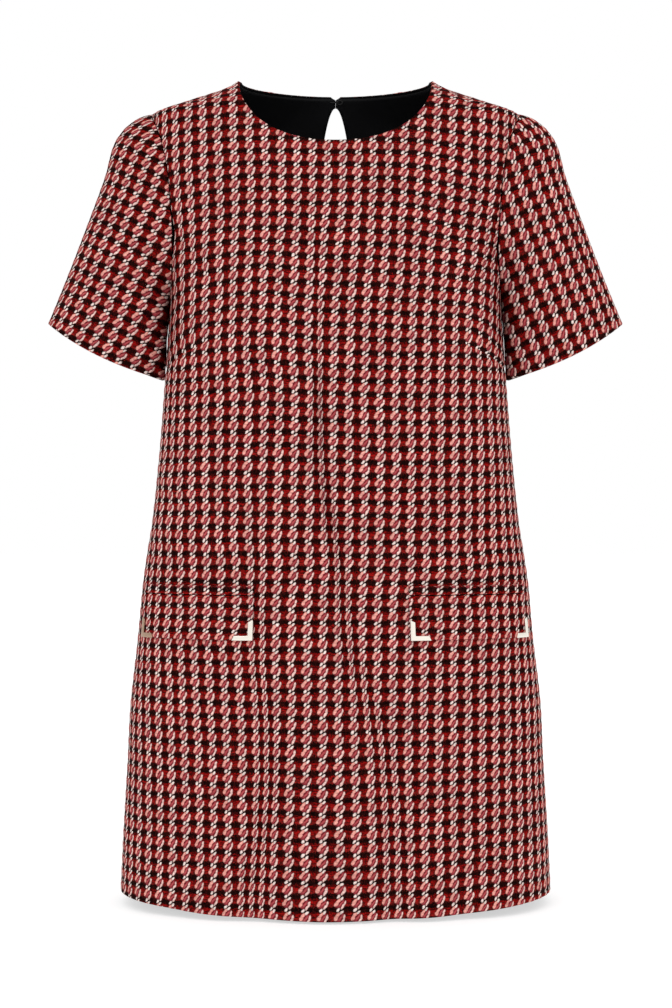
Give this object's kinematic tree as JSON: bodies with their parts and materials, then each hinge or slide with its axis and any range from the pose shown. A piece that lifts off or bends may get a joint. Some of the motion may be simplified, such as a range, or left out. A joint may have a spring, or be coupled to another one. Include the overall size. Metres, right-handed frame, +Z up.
{
  "type": "short-sleeved shift dress",
  "caption": "Short-sleeved A-line shift dress in chunky check tweed, worn pulled on over the head; round neck, back keyhole with hook and eye, mock pocket flaps with metal tips.",
  "frame": {"origin": "middle of the neck, level with the neck ends of the two shoulder seams, midway between front and back at those seams", "axes": "+Z up out of the neck; -Y the way the front faces; +X to the wearer's left"},
  "size_m": [0.591, 0.254, 0.8406],
  "materials": {
    "tweed": "chunky woven wool-blend tweed, red and black check with off-white twisted yarn, matt",
    "lining": "black satin-backed lining, low sheen",
    "tip_metal": "pale polished metal",
    "hook_metal": "black enamelled wire"
  },
  "bodies": {
    "root": {"front": "tweed", "back": "tweed", "sleeve_left": "tweed", "sleeve_right": "tweed", "neck_lining": "lining", "pocket_welt_left": "tweed", "pocket_welt_right": "tweed", "pocket_flap_left": "tweed", "pocket_flap_right": "tweed", "flap_tip_inner_left": "tip_metal", "flap_tip_outer_left": "tip_metal", "flap_tip_inner_right": "tip_metal", "flap_tip_outer_right": "tip_metal", "neck_hook": "hook_metal", "neck_eye": "hook_metal"}
  },
  "joints": []
}
